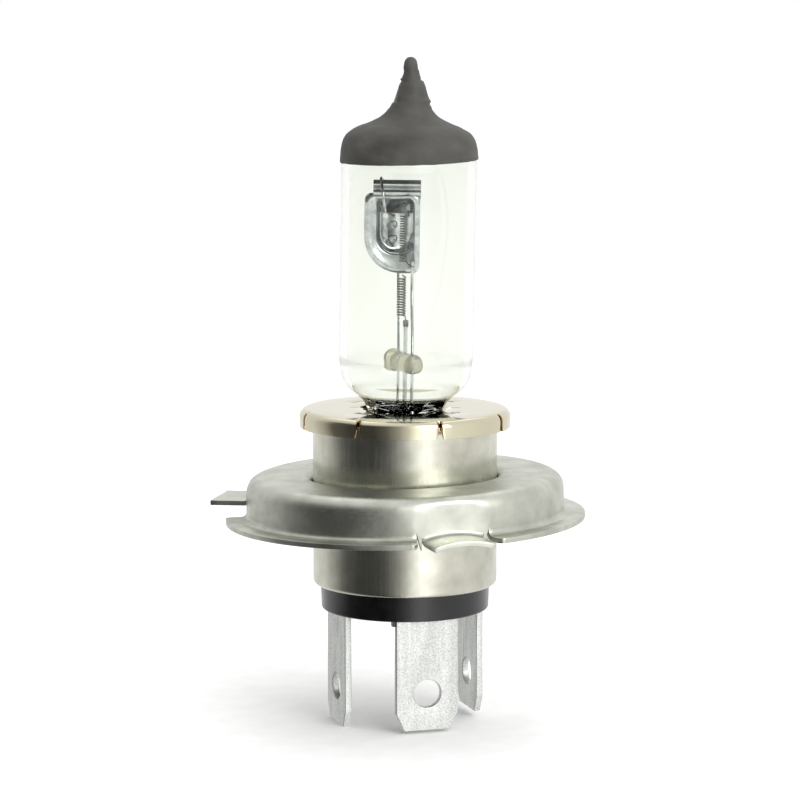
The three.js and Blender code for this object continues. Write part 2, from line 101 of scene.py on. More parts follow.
def set_ramp(node, stops):
    """Gives a colour ramp its stops, each a position and a grey level or a hex colour."""
    elements = node.color_ramp.elements
    while len(elements) < len(stops):
        elements.new(0.5)
    for element, (position, value) in zip(elements, stops):
        element.position = position
        element.color = hex_colour(value) if isinstance(value, str) else (value, value, value, 1)


def make_camera():
    """A long lens a little to the left of the front, looking slightly down."""
    data = bpy.data.cameras.new("camera")
    data.lens = CAMERA_LENS
    data.clip_start = 0.01
    data.clip_end = 20
    camera = bpy.data.objects.new("camera", data)
    bpy.context.scene.collection.objects.link(camera)
    right = Vector((math.cos(CAMERA_AZIMUTH), -math.sin(CAMERA_AZIMUTH), 0))
    camera.location = TOWARDS_CAMERA * CAMERA_DISTANCE - right * CAMERA_SIDESTEP
    camera.location.z = CAMERA_HEIGHT
    camera.rotation_euler = (math.pi / 2 - CAMERA_PITCH, 0, -CAMERA_AZIMUTH)
    bpy.context.scene.camera = camera


def make_studio():
    """A white room with one dark side, left of the camera, which bare metal needs for contrast.

    Rays that come straight from the camera, or through the glass, see plain white.
    """
    world = bpy.data.worlds.new("studio")
    bpy.context.scene.world = world
    world.use_nodes = True
    tree = world.node_tree
    tree.nodes.clear()
    direction = add_node(tree, "ShaderNodeTexCoord")
    turned = add_node(tree, "ShaderNodeMapping", inputs={"Rotation": (0, 0, CAMERA_AZIMUTH)},
                      links={"Vector": direction.outputs["Generated"]})
    parts = add_node(tree, "ShaderNodeSeparateXYZ", links={"Vector": turned.outputs[0]})
    # 0.5 is towards the camera, and larger values go round to its right.
    away = add_node(tree, "ShaderNodeMath", {"operation": "MULTIPLY"}, {1: -1}, {0: parts.outputs["Y"]})
    angle = add_node(tree, "ShaderNodeMath", {"operation": "ARCTAN2"},
                     links={0: parts.outputs["X"], 1: away.outputs[0]})
    around = add_node(tree, "ShaderNodeMapRange", inputs={1: -math.pi, 2: math.pi},
                      links={0: angle.outputs[0]})
    walls = add_node(tree, "ShaderNodeValToRGB", links={"Fac": around.outputs[0]})
    set_ramp(walls, [(0.5 + degrees / 360, level / BRIGHTEST_WALL) for degrees, level in STUDIO_WALL])
    height = add_node(tree, "ShaderNodeMapRange", inputs={1: CEILING_START, 2: CEILING_END},
                      links={0: parts.outputs["Z"]})
    white = (1 / BRIGHTEST_WALL,) * 3 + (1,)
    room = add_node(tree, "ShaderNodeMix", {"data_type": "RGBA"}, {"B": white},
                    {"Factor": height.outputs[0], "A": walls.outputs["Color"]})
    seen = add_node(tree, "ShaderNodeLightPath")
    direct = add_node(tree, "ShaderNodeMath", {"operation": "ADD"},
                      links={0: seen.outputs["Is Camera Ray"], 1: seen.outputs["Is Transmission Ray"]})
    unmirrored = add_node(tree, "ShaderNodeMath", {"operation": "SUBTRACT", "use_clamp": True}, {0: 1},
                          {1: seen.outputs["Glossy Depth"]})
    plain_rays = add_node(tree, "ShaderNodeMath", {"operation": "MULTIPLY"},
                          links={0: direct.outputs[0], 1: unmirrored.outputs[0]})
    strength = add_node(tree, "ShaderNodeMath", {"operation": "MULTIPLY_ADD"},
                        {1: BRIGHTEST_WALL * FLOOR_BOOST, 2: BRIGHTEST_WALL},
                        {0: seen.outputs["Is Diffuse Ray"]})
    lit = add_node(tree, "ShaderNodeMix", {"data_type": "RGBA"}, {"B": white},
                   {"Factor": plain_rays.outputs[0], "A": room.outputs["Result"]})
    background = add_node(tree, "ShaderNodeBackground",
                          links={"Color": lit.outputs["Result"], "Strength": strength.outputs[0]})
    add_node(tree, "ShaderNodeOutputWorld", links={"Surface": background.outputs[0]})


def make_softbox(name, azimuth, elevation, distance, size, power):
    """A square soft light aimed at the middle of the bulb. Azimuth is to the right of the camera."""
    data = bpy.data.lights.new(name, "AREA")
    data.size = size
    data.energy = power
    light = bpy.data.objects.new(name, data)
    bpy.context.scene.collection.objects.link(light)
    angle = math.radians(azimuth) - CAMERA_AZIMUTH
    rise = math.radians(elevation)
    ray = Vector((math.sin(angle) * math.cos(rise), -math.cos(angle) * math.cos(rise), math.sin(rise)))
    light.location = (cad_box[0] + cad_box[1]) / 2 + ray * distance
    light.rotation_mode = "QUATERNION"
    light.rotation_quaternion = ray.to_track_quat("Z", "Y")


def make_floor(material):
    """A sheet of paper under the blades, which the bulb's metal doesn't mirror."""
    start_afresh()
    bpy.ops.mesh.primitive_plane_add(size=FLOOR_SIZE)
    floor = bpy.context.object
    floor.name = "floor"
    bpy.ops.object.mode_set(mode="EDIT")
    bpy.ops.transform.translate(value=(0, 0, cad_box[0].z - FLOOR_GAP))
    bpy.ops.object.mode_set(mode="OBJECT")
    floor.data.materials.append(material)
    floor.visible_glossy = False


# ---- Materials --------------------------------------------------------------------------------

def new_material(name):
    """An empty material and its node tree."""
    material = bpy.data.materials.new(name)
    material.use_nodes = True
    material.node_tree.nodes.clear()
    return material, material.node_tree


def finish_surface(tree, inputs, links=None):
    """Ends a material in a Principled shader."""
    shader = add_node(tree, "ShaderNodeBsdfPrincipled", inputs=inputs, links=links)
    add_node(tree, "ShaderNodeOutputMaterial", links={"Surface": shader.outputs[0]})


def grain(tree, size, stretch=(1, 1, 1), detail=3):
    """Noise on the piece, with spots of the given size in mm, longer where stretch is above 1."""
    place = add_node(tree, "ShaderNodeTexCoord")
    squeezed = add_node(tree, "ShaderNodeMapping", inputs={"Scale": [1 / s for s in stretch]},
                        links={"Vector": place.outputs["Object"]})
    return add_node(tree, "ShaderNodeTexNoise", inputs={"Scale": 1 / (size * MM), "Detail": detail},
                    links={"Vector": squeezed.outputs[0]}).outputs["Fac"]


def spread(tree, value, low, high, start=0.3, end=0.7):
    """Stretches a noise's middle range over low to high."""
    return add_node(tree, "ShaderNodeMapRange", inputs={1: start, 2: end, 3: low, 4: high},
                    links={0: value}).outputs[0]


def tones(tree, value, *stops):
    """Turns a value into a colour through the given stops."""
    ramp = add_node(tree, "ShaderNodeValToRGB", links={"Fac": value})
    set_ramp(ramp, stops)
    return ramp.outputs["Color"]


def relief(tree, value, height, strength=1.0):
    """A bump whose highest points stand height mm proud."""
    return add_node(tree, "ShaderNodeBump", inputs={"Strength": strength, "Distance": height * MM},
                    links={"Height": value}).outputs[0]


def worked_metal(name, dark, light, roughness, marks, stretch, height, patch=3.0):
    """Bare metal with fine marks of its making and broad, faint patches of colour."""
    material, tree = new_material(name)
    fine = grain(tree, marks, stretch)
    patches = grain(tree, patch)
    finish_surface(tree, {"Metallic": 1.0}, {
        "Base Color": tones(tree, patches, (0.3, dark), (0.7, light)),
        "Roughness": spread(tree, fine, *roughness),
        "Normal": relief(tree, fine, height),
    })
    return material


def quartz_glass():
    """Blown fused quartz: almost colourless, with soft draw lines along the tube."""
    material, tree = new_material("fused_quartz")
    lines = grain(tree, 1.6, (1, 1, 12), 1)
    finish_surface(tree, {"Base Color": hex_colour("#f3f5f0"), "Roughness": 0.0, "IOR": 1.46,
                          "Transmission Weight": 1.0},
                   {"Normal": relief(tree, lines, 0.0004)})
    return material


def dipped_coat():
    """Matt heat-proof black, dipped on the glass: dries to a warm grey-brown with fine grit."""
    material, tree = new_material("dipped_heatproof_black")
    grit = grain(tree, 0.16)
    patches = grain(tree, 2.2, (1.6, 1.6, 1), 4)
    finish_surface(tree, {"Specular IOR Level": 0.35}, {
        "Base Color": tones(tree, patches, (0.3, "#3c3b37"), (0.5, "#464541"), (0.72, "#54524f")),
        "Roughness": spread(tree, patches, 0.5, 0.72),
        "Normal": relief(tree, grit, 0.02),
    })
    return material


def sintered_bead():
    """Sintered glass bead: cloudy pale yellow, fused round the wires."""
    material, tree = new_material("sintered_glass")
    cloud = grain(tree, 0.7)
    finish_surface(tree, {"Roughness": 0.12, "IOR": 1.5, "Transmission Weight": 0.7}, {
        "Base Color": tones(tree, cloud, (0.35, "#e9e5c2"), (0.7, "#fbfaf0")),
        "Normal": relief(tree, cloud, 0.03),
    })
    return material


def nickel_plate():
    """Bright nickel plate on pressed steel: a champagne mirror, with brown heat tints at the notches."""
    material, tree = new_material("bright_nickel_plate")
    place = add_node(tree, "ShaderNodeTexCoord")
    parts = add_node(tree, "ShaderNodeSeparateXYZ", links={"Vector": place.outputs["Object"]})
    angle = add_node(tree, "ShaderNodeMath", {"operation": "ARCTAN2"},
                     links={0: parts.outputs["Y"], 1: parts.outputs["X"]})
    turned = add_node(tree, "ShaderNodeMath", {"operation": "MULTIPLY_ADD"},
                      {1: NOTCH_COUNT, 2: -NOTCH_COUNT * NOTCH_ANGLE}, {0: angle.outputs[0]})
    wave = add_node(tree, "ShaderNodeMath", {"operation": "COSINE"}, links={0: turned.outputs[0]})
    cloud = grain(tree, 1.3)
    # The tint keeps to the skirt: it fades in over the last half millimetre of the plate.
    flat = add_node(tree, "ShaderNodeVectorMath", {"operation": "MULTIPLY"}, {1: (1, 1, 0)},
                    {0: place.outputs["Object"]})
    radius = add_node(tree, "ShaderNodeVectorMath", {"operation": "LENGTH"}, links={0: flat.outputs[0]})
    on_skirt = add_node(tree, "ShaderNodeMapRange",
                        inputs={1: 11.6 * MM, 2: 12.2 * MM, 3: -0.1, 4: 0.0},
                        links={0: radius.outputs["Value"]})
    patchy = add_node(tree, "ShaderNodeMath", {"operation": "MULTIPLY_ADD"}, {1: 0.04},
                      {0: cloud, 2: wave.outputs[0]})
    tint = add_node(tree, "ShaderNodeMath", {"operation": "ADD"},
                    links={0: patchy.outputs[0], 1: on_skirt.outputs[0]})
    finish_surface(tree, {"Metallic": 1.0}, {
        "Base Color": tones(tree, tint.outputs[0], (0.985, "#d3cdb3"), (0.997, "#c4ad87"),
                            (1.0, "#b08c5e")),
        "Roughness": spread(tree, cloud, 0.04, 0.09),
        "Normal": relief(tree, grain(tree, 0.9), 0.002),
    })
    return material


def tin_plate():
    """Matt tin on brass: fine speckle, and paler wipe marks along the blade."""
    material, tree = new_material("matt_tin_plate")
    speckle = grain(tree, 0.14, detail=2)
    wipes = grain(tree, 0.5, (1, 1, 9))
    finish_surface(tree, {"Metallic": 1.0}, {
        "Base Color": tones(tree, speckle, (0.32, "#b3b5b1"), (0.5, "#cbcdc9"), (0.68, "#dee0dc")),
        "Roughness": spread(tree, wipes, 0.36, 0.55),
        "Normal": relief(tree, speckle, 0.003),
    })
    return material


def moulded_resin():
    """Compression-moulded phenolic: glossy black with a faint flow pattern."""
    material, tree = new_material("moulded_phenolic")
    flow = grain(tree, 1.2)
    finish_surface(tree, {"IOR": 1.55}, {
        "Base Color": tones(tree, flow, (0.35, "#050506"), (0.7, "#0d0e10")),
        "Roughness": spread(tree, flow, 0.16, 0.28),
        "Normal": relief(tree, grain(tree, 0.3), 0.006),
    })
    return material


def matt_paper():
    """Seamless paper, faintly uneven."""
    material, tree = new_material("seamless_paper")
    finish_surface(tree, {"Roughness": 0.9, "Specular IOR Level": 0.0},
                   {"Base Color": tones(tree, grain(tree, 3.0), (0.3, "#fafaf9"), (0.7, "#ffffff"))})
    return material


# ---- Shaping ----------------------------------------------------------------------------------

def start_afresh():
    """Leaves edit mode and deselects everything."""
    if bpy.context.object and bpy.context.object.mode != "OBJECT":
        bpy.ops.object.mode_set(mode="OBJECT")
    bpy.ops.object.select_all(action="DESELECT")


def take(piece):
    """Makes the piece the one that operators act on."""
    start_afresh()
    piece.select_set(True)
    bpy.context.view_layer.objects.active = piece


def into(piece):
    """Opens the piece in edit mode."""
    take(piece)
    bpy.ops.object.mode_set(mode="EDIT")


def apply_modifier(piece, kind, **settings):
    """Adds a modifier with its settings and applies it."""
    take(piece)
    modifier = piece.modifiers.new(kind.lower(), kind)
    for name, value in settings.items():
        setattr(modifier, name, value)
    bpy.ops.object.modifier_apply(modifier=modifier.name)


def pick(piece, kind, test):
    """In edit mode, selects the verts, edges or faces whose middle, in mm, passes the test."""
    bpy.ops.mesh.select_mode(type={"verts": "VERT", "edges": "EDGE", "faces": "FACE"}[kind])
    bpy.ops.mesh.select_all(action="DESELECT")
    shape = bmesh.from_edit_mesh(piece.data)
    for part in getattr(shape, kind):
        corners = [part] if kind == "verts" else part.verts
        middle = sum((corner.co for corner in corners), Vector()) / len(corners) / MM
        if test(middle):
            part.select_set(True)
    shape.select_flush_mode()
    bmesh.update_edit_mesh(piece.data)


def rounded(corners, steps=6):
    """Points through corners (x, y, radius), with an arc of up to steps parts a quarter turn at each."""
    points = []
    for i, (x, y, radius) in enumerate(corners):
        here = Vector((x, y))
        if radius == 0:
            points.append(here)
            continue
        before = (Vector(corners[i - 1][:2]) - here).normalized()
        after = (Vector(corners[(i + 1) % len(corners)][:2]) - here).normalized()
        half = before.angle(after) / 2
        centre = here + (before + after).normalized() * radius / math.sin(half)
        start = here + before * radius / math.tan(half) - centre
        sweep = math.copysign(math.pi - 2 * half, -(before.x * after.y - before.y * after.x))
        count = max(1, math.ceil(abs(sweep) / (math.pi / 2) * steps))
        points += [centre + Matrix.Rotation(sweep * k / count, 2) @ start for k in range(count + 1)]
    return points


def hoop(corners, arc_steps=8, side_steps=4):
    """A closed outline like rounded's, whose count of points is the same for any radii."""
    points = []
    sharp = [(x, y, 0) for x, y, _ in corners]
    for i, corner in enumerate(corners):
        arc = rounded(sharp[:i] + [corner] + sharp[i + 1:], 1)
        first, last = arc[i], arc[-(len(corners) - i)]
        here = Vector(corner[:2])
        before, after = first - here, last - here
        half = before.angle(after) / 2
        centre = here + (before + after).normalized() * corner[2] / math.sin(half)
        sweep = math.copysign(math.pi - 2 * half, -(before.x * after.y - before.y * after.x))
        points += [centre + Matrix.Rotation(sweep * k / arc_steps, 2) @ (first - centre)
                   for k in range(arc_steps + 1)]
    ring = []
    for i, point in enumerate(points):
        ring.append(point)
        if i % (arc_steps + 1) == arc_steps:
            following = points[(i + 1) % len(points)]
            ring += [point.lerp(following, k / (side_steps + 1)) for k in range(1, side_steps + 1)]
    return ring


def smooth_through(points, steps=4):
    """A smooth line of points through the given (radius, height) pairs."""
    known = [Vector(point) for point in points]
    padded = [2 * known[0] - known[1], *known, 2 * known[-1] - known[-2]]
    line = []
    for a, b, c, d in zip(padded, padded[1:], padded[2:], padded[3:]):
        for k in range(steps):
            t = k / steps
            line.append(0.5 * (2 * b + (c - a) * t + (2 * a - 5 * b + 4 * c - d) * t ** 2
                               + (3 * b - a - 3 * c + d) * t ** 3))
    line.append(known[-1])
    return [Vector((max(0, point.x), point.y)) for point in line]


def scribe(name, points):
    """Starts a piece as a line of edges through points in mm, and stays in edit mode."""
    start_afresh()
    bpy.ops.mesh.primitive_plane_add(size=MM)
    piece = bpy.context.object
    piece.name = name
    bpy.ops.object.mode_set(mode="EDIT")
    bpy.ops.mesh.select_mode(type="VERT")
    bpy.ops.mesh.select_all(action="SELECT")
    bpy.ops.mesh.merge(type="CENTER")
    bpy.ops.transform.translate(value=points[0] * MM)
    for here, there in zip(points, points[1:]):
        bpy.ops.mesh.extrude_vertices_move(TRANSFORM_OT_translate={"value": (there - here) * MM})
    return piece


def close_up(inside=False):
    """In edit mode, merges doubled points and turns all faces outwards."""
    bpy.ops.mesh.select_all(action="SELECT")
    bpy.ops.mesh.remove_doubles(threshold=0.002 * MM)
    bpy.ops.mesh.normals_make_consistent(inside=inside)


def spun(name, profile, steps=96, inside=False):
    """Turns a line of (radius, height) points once round the bulb's axis."""
    piece = scribe(name, [Vector((x, 0, z)) for x, z in profile])
    bpy.ops.mesh.select_all(action="SELECT")
    bpy.ops.mesh.spin(steps=steps, angle=2 * math.pi, center=(0, 0, 0), axis=(0, 0, 1))
    close_up(inside)
    bpy.ops.object.mode_set(mode="OBJECT")
    return piece


def face_up(piece, where):
    """Turns an open sheet over if its face nearest to where, in mm, doesn't look up or out."""
    nearest = min(piece.data.polygons, key=lambda face: (face.center - where * MM).length)
    if nearest.normal.dot(where) < 0:
        into(piece)
        bpy.ops.mesh.select_all(action="SELECT")
        bpy.ops.mesh.flip_normals()
        bpy.ops.object.mode_set(mode="OBJECT")


def slab(name, outline, thickness):
    """A plate from an outline in x and z, thickness mm deep, centred on y = 0."""
    piece = scribe(name, [Vector((x, -thickness / 2, z)) for x, z in outline])
    bpy.ops.mesh.select_all(action="SELECT")
    bpy.ops.mesh.edge_face_add()
    bpy.ops.mesh.extrude_region_move(TRANSFORM_OT_translate={"value": (0, thickness * MM, 0)})
    close_up()
    bpy.ops.object.mode_set(mode="OBJECT")
    return piece


def block(name, size, middle):
    """A box of size mm with its middle there, used as a cutter or a start."""
    start_afresh()
    bpy.ops.mesh.primitive_cube_add(size=MM, location=Vector(middle) * MM, scale=size)
    bpy.ops.object.transform_apply(location=True, rotation=True, scale=True)
    bpy.context.object.name = name
    return bpy.context.object


def punch(name, radius, length, middle, sides=64):
    """A round cutter along Y."""
    start_afresh()
    bpy.ops.mesh.primitive_cylinder_add(vertices=sides, radius=radius * MM, depth=length * MM,
                                        location=Vector(middle) * MM, rotation=(math.pi / 2, 0, 0))
    bpy.ops.object.transform_apply(location=True, rotation=True, scale=True)
    bpy.context.object.name = name
    return bpy.context.object


def bevel_edges(piece, width, angle, segments=2):
    """Rounds the edges sharper than the angle, in degrees, to a width in mm."""
    apply_modifier(piece, "BEVEL", width=width * MM, segments=segments, limit_method="ANGLE",
                   angle_limit=math.radians(angle))


def with_tools(piece, operation, tools):
    """Cuts tools out of the piece, or fuses them to it, and throws them away."""
    for tool in tools:
        apply_modifier(piece, "BOOLEAN", operation=operation, solver="EXACT", object=tool)
        bpy.data.objects.remove(tool)


def assemble(piece, *others):
    """Joins other meshes into the piece."""
    take(piece)
    for other in others:
        other.select_set(True)
    bpy.ops.object.join()
    return piece


def seat(piece, turn=0.0, place=(0, 0, 0), axis=(0, 0, 1)):
    """Turns a mesh about an axis through the origin and then moves it, in mm."""
    take(piece)
    piece.matrix_world = Matrix.Translation(Vector(place) * MM) @ Matrix.Rotation(turn, 4, Vector(axis))
    bpy.ops.object.transform_apply(location=True, rotation=True, scale=True)


def lean(piece, angle, pivot_height):
    """Leans a mesh sideways as seen from the camera, about a point on the axis."""
    pivot = Vector((0, 0, pivot_height * MM))
    take(piece)
    piece.matrix_world = (Matrix.Translation(pivot) @ Matrix.Rotation(angle, 4, TOWARDS_CAMERA)
                          @ Matrix.Translation(-pivot))
    bpy.ops.object.transform_apply(location=True, rotation=True, scale=True)


def wire(name, points, radius, bent=True, sides=10):
    """A round wire through points in mm, with smooth bends, or straight from point to point."""
    start_afresh()
    data = bpy.data.curves.new(name, "CURVE")
    data.dimensions = "3D"
    data.bevel_depth = radius * MM
    data.bevel_resolution = max(0, sides // 2 - 2)
    data.use_fill_caps = True
    data.resolution_u = 10
    spline = data.splines.new("BEZIER" if bent else "POLY")
    knots = spline.bezier_points if bent else spline.points
    knots.add(len(points) - 1)
    for knot, point in zip(knots, points):
        if bent:
            knot.co = Vector(point) * MM
            knot.handle_left_type = knot.handle_right_type = "AUTO"
        else:
            knot.co = (*(Vector(point) * MM), 1)
    piece = bpy.data.objects.new(name, data)
    bpy.context.scene.collection.objects.link(piece)
    take(piece)
    bpy.ops.object.convert(target="MESH")
    bpy.ops.object.mode_set(mode="EDIT")
    close_up()
    bpy.ops.object.mode_set(mode="OBJECT")
    return bpy.context.object


def loft(name, rings):
    """A skin over rings of as many points each. The last ring is closed with a face."""
    start_afresh()
    bpy.ops.mesh.primitive_circle_add(vertices=len(rings[0]), radius=MM)
    piece = bpy.context.object
    piece.name = name
    for vertex, point in zip(piece.data.vertices, rings[0]):
        vertex.co = point * MM
    bpy.ops.object.mode_set(mode="EDIT")
    bpy.ops.mesh.select_mode(type="VERT")
    bpy.ops.mesh.select_all(action="SELECT")
    for ring, following in zip(rings, rings[1:]):
        bpy.ops.mesh.extrude_edges_move()
        shape = bmesh.from_edit_mesh(piece.data)
        for vertex in shape.verts:
            if vertex.select:
                nearest = min(range(len(ring)),
                              key=lambda k: (ring[k] * MM - vertex.co).length_squared)
                vertex.co = following[nearest] * MM
        bmesh.update_edit_mesh(piece.data)
    bpy.ops.mesh.edge_face_add()
    bpy.ops.object.mode_set(mode="OBJECT")
    return piece


def hand_over(piece, material, *nodes, smooth=40):
    """Gives a finished piece its material and its place in the frame."""
    take(piece)
    bpy.ops.object.shade_smooth_by_angle(angle=math.radians(smooth))
    piece.data.materials.clear()
    piece.data.materials.append(material)
    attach(piece, "root")
    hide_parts(*nodes)


def box_mm(node):
    """The low and high corner of a CAD node's box, in mm."""
    low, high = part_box(node)
    return Vector(low) / MM, Vector(high) / MM


# ---- Glass and coat ---------------------------------------------------------------------------

GLASS_LEAN = -math.radians(0.9)
LEAN_HEIGHT = 10.0
BORE_RADIUS = 7.02
PINCH_THICKNESS = 3.4
PINCH_WIDTH = 9.2
PINCH_TOP = 9.7


def glass_envelope(material):
    """A blown tube with a drawn tip, narrowed to the flat pinch that holds the leads."""
    low, high = box_mm("glass_envelope")
    radius = high.x
    outside = smooth_through([
        (0, 9.1), (3.2, 9.1), (3.9, 9.7), (4.3, 10.4), (4.9, 11.6), (5.55, 12.35), (6.6, 13.2),
        (7.3, 14.0), (7.75, 15.1), (7.95, 16.6), (radius, 18.0), (radius, 25.0), (radius, 33.0),
        (radius, 41.0), (7.7, 42.8), (7.1, 43.6), (6.0, 44.2), (4.8, 44.6), (3.4, 45.3),
        (2.6, 46.1), (2.05, 47.1), (1.7, 48.1), (1.35, 49.2), (0.9, 50.2), (0.6, 51.5), (0, 52.2)])
    envelope = spun("glass_envelope_blown", outside, 128)
    pinch = block("pinch", (PINCH_THICKNESS, PINCH_WIDTH, PINCH_TOP - low.z),
                  (0, 0, (PINCH_TOP + low.z) / 2))
    apply_modifier(pinch, "BEVEL", width=0.6 * MM, segments=4)
    with_tools(envelope, "UNION", [pinch])
    inside = smooth_through([
        (0, 10.9), (1.6, 10.95), (3.0, 11.3), (4.2, 12.0), (5.2, 12.75), (6.15, 13.65), (6.75, 14.6),
        (6.98, 15.8), (BORE_RADIUS, 17.2), (BORE_RADIUS, 25.0), (BORE_RADIUS, 33.0),
        (BORE_RADIUS, 41.0), (6.6, 42.6), (5.4, 43.4), (3.2, 43.75), (0, 43.9)])
    assemble(envelope, spun("bore", inside, 128, inside=True))
    lean(envelope, GLASS_LEAN, LEAN_HEIGHT)
    hand_over(envelope, material, "glass_envelope", smooth=60)


def top_coating(material):
    """A film of paint over the dome and the pip, with small runs and a slightly crooked edge."""
    low, high = box_mm("top_coating")
    edge = low.z
    outside = smooth_through([
        (8.17, edge), (8.2, edge + 0.25), (8.15, 41.2), (8.06, 42.1), (7.76, 43.0), (7.15, 43.75),
        (6.05, 44.4), (4.85, 44.85), (3.6, 45.5), (2.8, 46.25), (2.26, 47.12), (1.92, 48.06),
        (1.6, 49.1), (1.24, 49.95), (0.95, 50.75), (0.86, 51.57), (0.72, 52.15), (0.4, 52.52),
        (0, high.z - 0.02)])
    inside = smooth_through([
        (0, 52.3), (0.7, 51.5), (0.95, 50.2), (1.4, 49.2), (1.75, 48.1), (2.1, 47.1), (2.65, 46.1),
        (3.45, 45.35), (4.85, 44.65), (6.05, 44.25), (7.15, 43.65), (7.75, 42.85), (8.03, 41.0),
        (8.04, edge)])
    coat = spun("top_coating_dipped", inside + outside, 96)
    # The pip was drawn off by hand: its neck bulges to one side above the dome.
    into(coat)
    right = TOWARDS_CAMERA.cross(Vector((0, 0, -1)))
    for height, reach, push in ((48.6, 1.3, 0.24), (50.6, 0.5, 0.1), (46.9, 0.8, 0.08)):
        pick(coat, "verts", lambda at: abs(at.z - height) < reach and at.xy.length < 2.6)
        bpy.ops.transform.translate(value=right * push * MM)
    # It went into the paint a little askew.
    pick(coat, "verts", lambda at: at.z < edge + 0.3)
    bpy.ops.transform.rotate(value=math.radians(2.3), orient_axis="Y",
                             center_override=(0, 0, edge * MM))
    bpy.ops.object.mode_set(mode="OBJECT")
    runs = bpy.data.textures.new("coat_runs", "CLOUDS")
    runs.noise_scale = 1.7 * MM
    runs.noise_depth = 2
    apply_modifier(coat, "DISPLACE", texture=runs, texture_coords="LOCAL", strength=0.16 * MM,
                   mid_level=0.62)
    lean(coat, GLASS_LEAN, LEAN_HEIGHT)
    hand_over(coat, material, "top_coating", smooth=70)


# ---- Filaments, leads and shield --------------------------------------------------------------

LEAD_X = -0.1
LEAD_ROWS = {"common": -2.8, "high": 0.0, "low": 2.8}
SHIELD_TURN = math.radians(-16)
SHIELD_PLACE = (-1.55, 1.5, 0)
SHIELD_SHEET = 0.2


def filament(node, turns, coil_radius, wire_radius, centre_x, start, length, below, above):
    """A coil of drawn tungsten with a straight leg at each end."""
    steps = 14
    coil = [Vector((centre_x + coil_radius * math.cos(2 * math.pi * k / steps),
                    coil_radius * math.sin(2 * math.pi * k / steps),
                    start + length * k / (steps * turns))) for k in range(steps * turns + 1)]
    points = [Vector(p) for p in below] + coil + [Vector(p) for p in above]
    return wire(node + "_wound", points, wire_radius, bent=False, sides=8)


def shield_point(across, back, height):
    """A point given across and behind the shield's lip, in the frame's mm."""
    spot = Matrix.Rotation(SHIELD_TURN, 3, "Z") @ Vector((across, back, 0)) + Vector(SHIELD_PLACE)
    return Vector((spot.x, spot.y, height))


def dip_shield(material):
    """A cup drawn from molybdenum sheet.

    It has a rolled lip, a trough with a sloping end, two weld dimples and a folded top.
    """
    low, high = box_mm("dip_shield")
    bottom, top = low.z, high.z
    lip_top, half_width, heel_radius = 36.5, 3.4, 4.4
    trough_left, trough_right, trough_foot, trough_corner = -1.75, 2.85, 29.3, 2.1
    rise_to_left = 0.2

    def lip(inset, back):
        return [Vector((x, back, z)) for x, z in hoop([
            (-half_width + inset, bottom + inset, heel_radius - inset * 0.7),
            (half_width - inset, bottom + inset, 0.9),
            (half_width - inset, lip_top - inset, 0.8),
            (-half_width + inset, lip_top - inset, 0.9)])]

    def trough(inset, back, end):
        slope = max(0, back - 0.7) / 1.6 * rise_to_left
        return [Vector((x, back + slope * (x - 0.5), z)) for x, z in hoop([
            (trough_left + inset, trough_foot + inset, trough_corner - inset / 2),
            (trough_right - inset, trough_foot + inset, trough_corner - inset / 2),
            (trough_right - inset, end, 0.35),
            (trough_left + inset, end, 0.35)])]

    cup = loft("dip_shield_drawn", [
        lip(0.02, 0.75), lip(0.0, 0.45), lip(0.08, 0.18),
        lip(0.28, 0.03), lip(0.55, 0.0), lip(0.85, 0.1),
        trough(-0.45, 0.24, 36.05), trough(-0.2, 0.22, 35.95), trough(-0.04, 0.36, 35.8),
        trough(0.02, 0.7, 35.45), trough(0.06, 1.4, 34.75), trough(0.12, 1.95, 34.2),
        trough(0.3, 2.2, 33.95), trough(0.6, 2.27, 33.7)])
    face_up(cup, Vector((0, -0.5, 32)))
    apply_modifier(cup, "SOLIDIFY", thickness=SHIELD_SHEET * MM, offset=-1)
    apply_modifier(cup, "SUBSURF", levels=1, render_levels=1)

    folds = smooth_through([
        (0.5, 35.9), (0.15, 36.2), (0.02, 36.6), (0.3, 36.95), (0.38, 37.15), (0.05, 37.4),
        (0.0, 37.6), (0.32, 37.85), (0.5, top - 0.25)], 4)
    strip = scribe("folded_top", [Vector((-2.3, back, z)) for back, z in folds])
    bpy.ops.mesh.select_all(action="SELECT")
    bpy.ops.mesh.extrude_region_move(TRANSFORM_OT_translate={"value": (5.7 * MM, 0, 0)})
    bpy.ops.object.mode_set(mode="OBJECT")
    apply_modifier(strip, "SOLIDIFY", thickness=SHIELD_SHEET * MM, offset=0)

    dimples = []
    for height in (32.6, 30.9):
        dimple = spun("dimple", smooth_through([
            (0, 0.05), (0.12, 0.06), (0.2, 0.2), (0.3, 0.24), (0.4, 0.16), (0.46, 0.0),
            (0.46, -0.1), (0, -0.1)], 3), 24)
        seat(dimple, math.pi / 2, (0.2, 2.2, height), (1, 0, 0))
        dimples.append(dimple)
    tab = block("lead_tab", (0.5, 0.3, 1.3), (2.75, 0.0, 27.95))
    apply_modifier(tab, "BEVEL", width=0.12 * MM, segments=3)
    assemble(cup, strip, tab, *dimples)
    seat(cup, SHIELD_TURN, SHIELD_PLACE)
    lean(cup, GLASS_LEAN, LEAN_HEIGHT)
    hand_over(cup, material, "dip_shield", smooth=50)


def straight_foot(lead, height):
    """The straight start of a lead, from the pinch up to a height."""
    return [(LEAD_X, LEAD_ROWS[lead], z) for z in (7.2, 12, height)]


